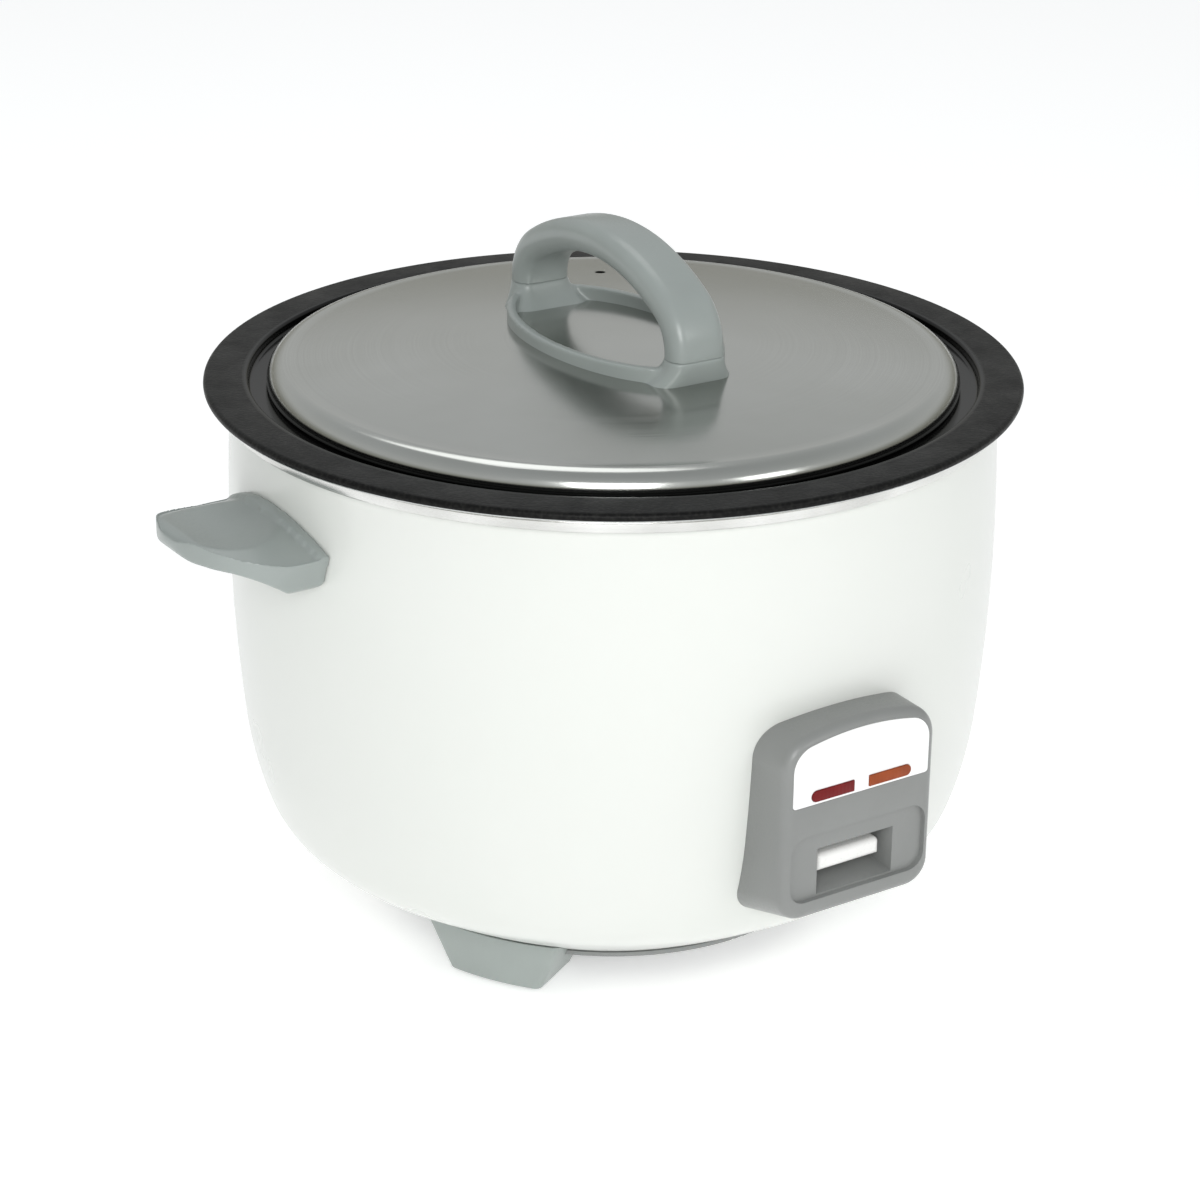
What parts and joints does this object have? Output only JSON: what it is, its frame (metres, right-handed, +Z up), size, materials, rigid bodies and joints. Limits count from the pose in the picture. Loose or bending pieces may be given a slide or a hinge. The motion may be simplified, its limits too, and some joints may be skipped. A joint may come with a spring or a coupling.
{
  "type": "rice cooker",
  "caption": "Drum rice cooker: white enamel body, grey handles and feet, lift-out black pot, polished lid with bow grip, lamp panel with cook lever, heater and magnetic cut-off.",
  "frame": {"origin": "on the floor plane under the rubber foot pads, at the middle of the drum; also the middle of the bounding box in plan", "axes": "+Z up along the drum; -Y towards the control panel; +X and -X towards the carrying handles"},
  "size_m": [0.448, 0.3846, 0.3257],
  "materials": {
    "white_enamel": "gloss baked enamel",
    "bright_rim": "bright rolled metal",
    "liner_aluminium": "mill finish",
    "nonstick_black": "black non-stick coating on aluminium, fine textured flange",
    "polished_steel": "polished stainless",
    "grey_plastic": "semi-gloss moulded",
    "panel_grey": "semi-gloss moulded",
    "faceplate_white": "smooth printed plate, no lettering",
    "red_lens": "translucent red",
    "orange_lens": "translucent orange",
    "neon_glass": "small glass envelope",
    "board_phenolic": "brown phenolic",
    "zinc_screw": "zinc plated",
    "spring_steel": "bare spring steel",
    "paddle_white": "white moulded",
    "galvanised": "galvanised sheet",
    "cap_aluminium": "drawn, satin",
    "ferrite": "sintered dark grey",
    "cast_plate": "machined casting",
    "element_steel": "oxidised sheath",
    "brass_terminal": "plain",
    "band_mica": "mica faced heater band",
    "block_ceramic": "glazed white",
    "wire_sleeve": "heat-proof sleeve",
    "base_grey": "moulded",
    "foot_grey": "moulded",
    "pad_rubber": "plain"
  },
  "bodies": {
    "root": {"base_cover": "base_grey", "base_screws": "zinc_screw", "body_rim_ring": "bright_rim", "control_panel_housing": "panel_grey", "cook_lamp_lens": "red_lens", "cook_neon_lamp": "neon_glass", "element_terminals": "brass_terminal", "foot_pads": "pad_rubber", "foot_screws": "zinc_screw", "front_left_foot": "foot_grey", "front_right_foot": "foot_grey", "fuse_clip": "galvanised", "heating_element": "element_steel", "heating_plate": "cast_plate", "indicator_faceplate": "faceplate_white", "inlet_pins": "brass_terminal", "inlet_screws": "zinc_screw", "inner_liner": "liner_aluminium", "internal_wires": "wire_sleeve", "keep_warm_band": "band_mica", "keep_warm_thermostat": "board_phenolic", "lamp_board": "board_phenolic", "lamp_board_screws": "zinc_screw", "lever_bracket": "galvanised", "lever_pivot_pin": "zinc_screw", "liner_screws": "zinc_screw", "micro_switch": "board_phenolic", "outer_body_shell": "white_enamel", "panel_screws": "zinc_screw", "plate_screws": "zinc_screw", "plate_support_posts": "galvanised", "power_inlet_housing": "panel_grey", "rear_foot": "foot_grey", "release_spring": "spring_steel", "sensor_spring": "spring_steel", "sensor_tube": "galvanised", "side_handle_left": "grey_plastic", "side_handle_right": "grey_plastic", "side_handle_screws": "zinc_screw", "terminal_block": "block_ceramic", "thermal_fuse": "cap_aluminium", "warm_lamp_lens": "orange_lens", "warm_neon_lamp": "neon_glass"},
    "inner_pot_body": {"inner_pot": "nonstick_black"},
    "lid_body": {"lid_shell": "polished_steel", "lid_handle_base": "grey_plastic", "lid_handle_grip": "grey_plastic", "lid_handle_screws": "zinc_screw", "lid_handle_washers": "zinc_screw"},
    "lever_body": {"lever_arm": "spring_steel", "switch_paddle": "paddle_white"},
    "magnet_body": {"lift_rod": "zinc_screw", "ring_magnet": "ferrite"},
    "sensor_cap_body": {"sensor_cap": "cap_aluminium", "curie_ferrite": "ferrite"},
    "plunger_body": {"micro_switch_plunger": "paddle_white"}
  },
  "joints": [
    {"name": "pot_lift", "type": "slide", "parent": "root", "child": "inner_pot_body", "axis": [0, 0, 1], "range_m": [0, 0.26]},
    {"name": "lid_lift", "type": "slide", "parent": "inner_pot_body", "child": "lid_body", "axis": [0, 0, 1], "range_m": [0, 0.15]},
    {"name": "lever_rock", "type": "hinge", "parent": "root", "child": "lever_body", "pos_m": [0, -0.092, 0.0265], "axis": [1, 0, 0], "range_deg": [0, 3.5], "stiffness_Nm_per_rad": 0.8, "springref_deg": -6.88},
    {"name": "magnet_lift", "type": "slide", "parent": "root", "child": "magnet_body", "axis": [0, 0, 1], "range_m": [0, 0.00572], "deforming": ["release_spring"]},
    {"name": "sensor_press", "type": "slide", "parent": "root", "child": "sensor_cap_body", "axis": [0, 0, 1], "range_m": [-0.0015, 0], "stiffness_N_per_m": 400, "springref_m": 0.004, "deforming": ["sensor_spring"]},
    {"name": "plunger_press", "type": "slide", "parent": "root", "child": "plunger_body", "axis": [0, 0, 1], "range_m": [0, 0.00187]}
  ],
  "couplings": [
    {"joint": "magnet_lift", "follows": "lever_rock", "m_per_rad": 0.092},
    {"joint": "plunger_press", "follows": "lever_rock", "m_per_rad": 0.029}
  ]
}
